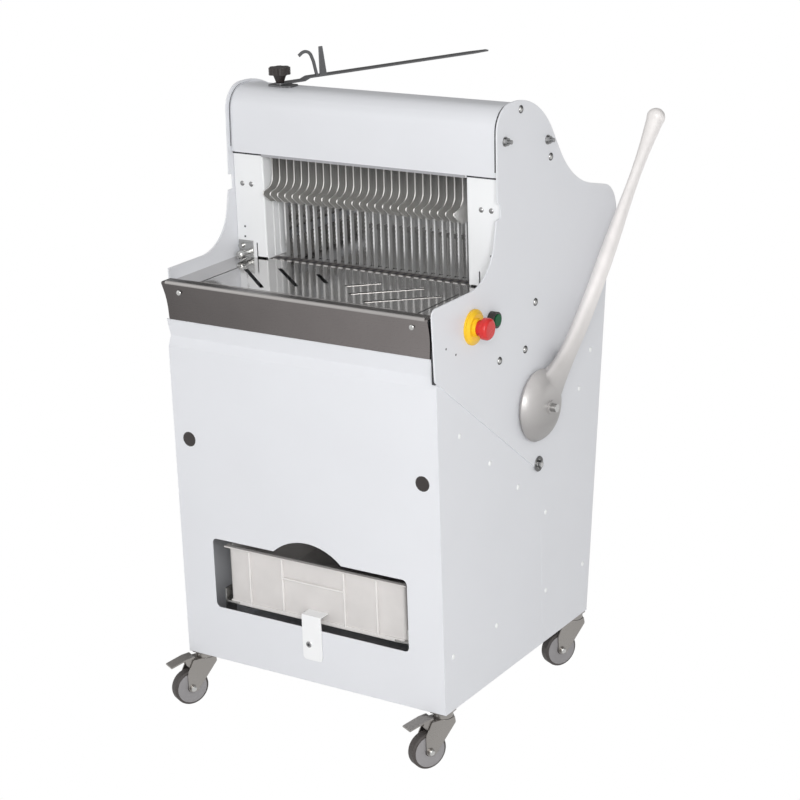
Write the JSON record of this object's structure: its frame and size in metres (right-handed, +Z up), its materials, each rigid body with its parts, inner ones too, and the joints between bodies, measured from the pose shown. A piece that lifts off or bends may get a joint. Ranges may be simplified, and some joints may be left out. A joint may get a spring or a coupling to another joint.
{
  "type": "bakery bread slicer",
  "caption": "Floor-standing bakery bread slicer on casters: white cabinet, tall hood over reciprocating blade frames, steel table, side push lever, crumb drawer",
  "frame": {"origin": "on the floor under the middle of the machine's bounding box", "axes": "+X to the operator's right, +Y to the back of the machine, +Z up"},
  "size_m": [0.6791, 0.8539, 1.2546],
  "materials": {
    "white_enamel": "white powder coat",
    "stainless": "brushed stainless steel",
    "stainless_dark": "brushed stainless steel, darker sheen",
    "blade_steel": "ground blade steel",
    "cast_aluminium": "polished cast aluminium",
    "zinc": "bright zinc",
    "black_plastic": "black moulded plastic",
    "nylon": "natural nylon",
    "tray_plastic": "off-white moulded plastic",
    "red_plastic": "red",
    "yellow_plastic": "yellow",
    "green_plastic": "dark green",
    "belt_rubber": "black rubber",
    "wheel_grey": "grey rubber tread on a grey wheel",
    "motor_grey": "grey machine paint",
    "bronze": "sintered bronze"
  },
  "bodies": {
    "machine": {"cabinet_front_panel": "white_enamel", "cabinet_side_right": "white_enamel", "cabinet_side_left": "white_enamel", "cabinet_base": "white_enamel", "cabinet_rear_panel": "white_enamel", "drive_shelf": "motor_grey", "crumb_chute": "stainless", "panel_plugs": "black_plastic", "cheek_right": "white_enamel", "cheek_left": "white_enamel", "hood": "white_enamel", "front_columns": "white_enamel", "apron": "stainless_dark", "table": "stainless", "column_latch": "zinc", "front_comb": "stainless", "slide_guides": "nylon", "crank_bearings": "motor_grey", "drive_belt": "belt_rubber", "motor": "motor_grey", "rear_table": "stainless", "guide_rods": "stainless", "lever_bushes": "bronze", "drawer_runners": "zinc", "emergency_stop_base": "yellow_plastic", "start_button_bezel": "black_plastic", "bag_arm_base": "stainless", "domed_screws": "zinc", "hex_bolts": "zinc", "caster_heads": "stainless"},
    "front_frame": {"blade_frame_front": "stainless", "blades_front": "blade_steel"},
    "rear_frame": {"blade_frame_rear": "stainless", "blades_rear": "blade_steel"},
    "front_rod": {"connecting_rod_front": "cast_aluminium"},
    "rear_rod": {"connecting_rod_rear": "cast_aluminium"},
    "crank": {"crank_shaft": "stainless"},
    "rotor": {"motor_shaft": "stainless"},
    "finger_rack": {"press_fingers": "stainless", "finger_shaft": "stainless"},
    "lever_unit": {"lever": "cast_aluminium", "lever_shaft": "stainless"},
    "pusher_unit": {"pusher": "cast_aluminium", "pusher_fins": "stainless"},
    "drawer": {"crumb_drawer": "tray_plastic", "drawer_bracket": "white_enamel"},
    "stop_button": {"emergency_stop_button": "red_plastic"},
    "go_button": {"start_button": "green_plastic"},
    "bag_bar": {"bag_arm": "stainless"},
    "bag_knob": {"bag_arm_knob": "black_plastic"},
    "fork_front_left": {"caster_fork_front_left": "stainless"},
    "wheel_front_left": {"caster_wheel_front_left": "wheel_grey"},
    "pedal_front_left": {"brake_pedal_front_left": "stainless"},
    "fork_front_right": {"caster_fork_front_right": "stainless"},
    "wheel_front_right": {"caster_wheel_front_right": "wheel_grey"},
    "pedal_front_right": {"brake_pedal_front_right": "stainless"},
    "fork_rear_left": {"caster_fork_rear_left": "stainless"},
    "wheel_rear_left": {"caster_wheel_rear_left": "wheel_grey"},
    "fork_rear_right": {"caster_fork_rear_right": "stainless"},
    "wheel_rear_right": {"caster_wheel_rear_right": "wheel_grey"}
  },
  "joints": [
    {"name": "front_frame_slide", "type": "slide", "parent": "machine", "child": "front_frame", "axis": [0, 0, 1], "range_m": [-0.018, 0.018]},
    {"name": "rear_frame_slide", "type": "slide", "parent": "machine", "child": "rear_frame", "axis": [0, 0, 1], "range_m": [-0.018, 0.018]},
    {"name": "front_rod_pin", "type": "hinge", "parent": "front_frame", "child": "front_rod", "pos_m": [-0.073, -0.12, 0.687], "axis": [1, 0, 0], "range_deg": [-5, 5]},
    {"name": "rear_rod_pin", "type": "hinge", "parent": "rear_frame", "child": "rear_rod", "pos_m": [0.041, -0.084, 0.687], "axis": [1, 0, 0], "range_deg": [-5, 5]},
    {"name": "crank_spin", "type": "hinge", "parent": "machine", "child": "crank", "pos_m": [-0.016, -0.102, 0.448], "axis": [1, 0, 0], "continuous": true},
    {"name": "motor_spin", "type": "hinge", "parent": "machine", "child": "rotor", "pos_m": [-0.016, 0.058, 0.443], "axis": [1, 0, 0], "continuous": true},
    {"name": "finger_lift", "type": "hinge", "parent": "machine", "child": "finger_rack", "pos_m": [-0.016, -0.117, 1.084], "axis": [1, 0, 0], "range_deg": [-12, 0]},
    {"name": "lever_swing", "type": "hinge", "parent": "machine", "child": "lever_unit", "pos_m": [0.304, -0.028, 0.608], "axis": [1, 0, 0], "range_deg": [0, 60]},
    {"name": "pusher_slide", "type": "slide", "parent": "machine", "child": "pusher_unit", "axis": [0, -1, 0], "range_m": [0, 0.28]},
    {"name": "drawer_slide", "type": "slide", "parent": "machine", "child": "drawer", "axis": [0, -1, 0], "range_m": [0, 0.38]},
    {"name": "emergency_stop_press", "type": "slide", "parent": "machine", "child": "stop_button", "axis": [-1, 0, 0], "range_m": [0, 0.004], "stiffness_N_per_m": 2000},
    {"name": "start_press", "type": "slide", "parent": "machine", "child": "go_button", "axis": [-1, 0, 0], "range_m": [0, 0.003], "stiffness_N_per_m": 1500},
    {"name": "bag_arm_swivel", "type": "hinge", "parent": "machine", "child": "bag_bar", "pos_m": [-0.2288, -0.0894, 1.198], "axis": [0, 0, 1], "range_deg": [-90, 90]},
    {"name": "bag_knob_turn", "type": "hinge", "parent": "bag_bar", "child": "bag_knob", "pos_m": [-0.2288, -0.0894, 1.213], "axis": [0, 0, 1], "range_deg": [-180, 180]},
    {"name": "swivel_front_left", "type": "hinge", "parent": "machine", "child": "fork_front_left", "pos_m": [-0.293, -0.349, 0.088], "axis": [0, 0, 1], "continuous": true},
    {"name": "roll_front_left", "type": "hinge", "parent": "fork_front_left", "child": "wheel_front_left", "pos_m": [-0.3098, -0.38197, 0.036], "axis": [0.891, -0.454, 0], "continuous": true},
    {"name": "brake_front_left", "type": "hinge", "parent": "fork_front_left", "child": "pedal_front_left", "pos_m": [-0.30889, -0.38019, 0.078], "axis": [0.891, -0.454, 0], "range_deg": [0, 8]},
    {"name": "swivel_front_right", "type": "hinge", "parent": "machine", "child": "fork_front_right", "pos_m": [0.261, -0.349, 0.088], "axis": [0, 0, 1], "continuous": true},
    {"name": "roll_front_right", "type": "hinge", "parent": "fork_front_right", "child": "wheel_front_right", "pos_m": [0.2442, -0.38197, 0.036], "axis": [0.891, -0.454, 0], "continuous": true},
    {"name": "brake_front_right", "type": "hinge", "parent": "fork_front_right", "child": "pedal_front_right", "pos_m": [0.24511, -0.38019, 0.078], "axis": [0.891, -0.454, 0], "range_deg": [0, 8]},
    {"name": "swivel_rear_left", "type": "hinge", "parent": "machine", "child": "fork_rear_left", "pos_m": [-0.293, 0.156, 0.088], "axis": [0, 0, 1], "continuous": true},
    {"name": "roll_rear_left", "type": "hinge", "parent": "fork_rear_left", "child": "wheel_rear_left", "pos_m": [-0.3098, 0.12303, 0.036], "axis": [0.891, -0.454, 0], "continuous": true},
    {"name": "swivel_rear_right", "type": "hinge", "parent": "machine", "child": "fork_rear_right", "pos_m": [0.261, 0.156, 0.088], "axis": [0, 0, 1], "continuous": true},
    {"name": "roll_rear_right", "type": "hinge", "parent": "fork_rear_right", "child": "wheel_rear_right", "pos_m": [0.2442, 0.12303, 0.036], "axis": [0.891, -0.454, 0], "continuous": true}
  ],
  "couplings": [
    {"joint": "rear_frame_slide", "follows": "front_frame_slide", "ratio": -1},
    {"joint": "motor_spin", "follows": "crank_spin", "ratio": 1.6667},
    {"joint": "pusher_slide", "follows": "lever_swing", "m_per_rad": 0.26738}
  ]
}
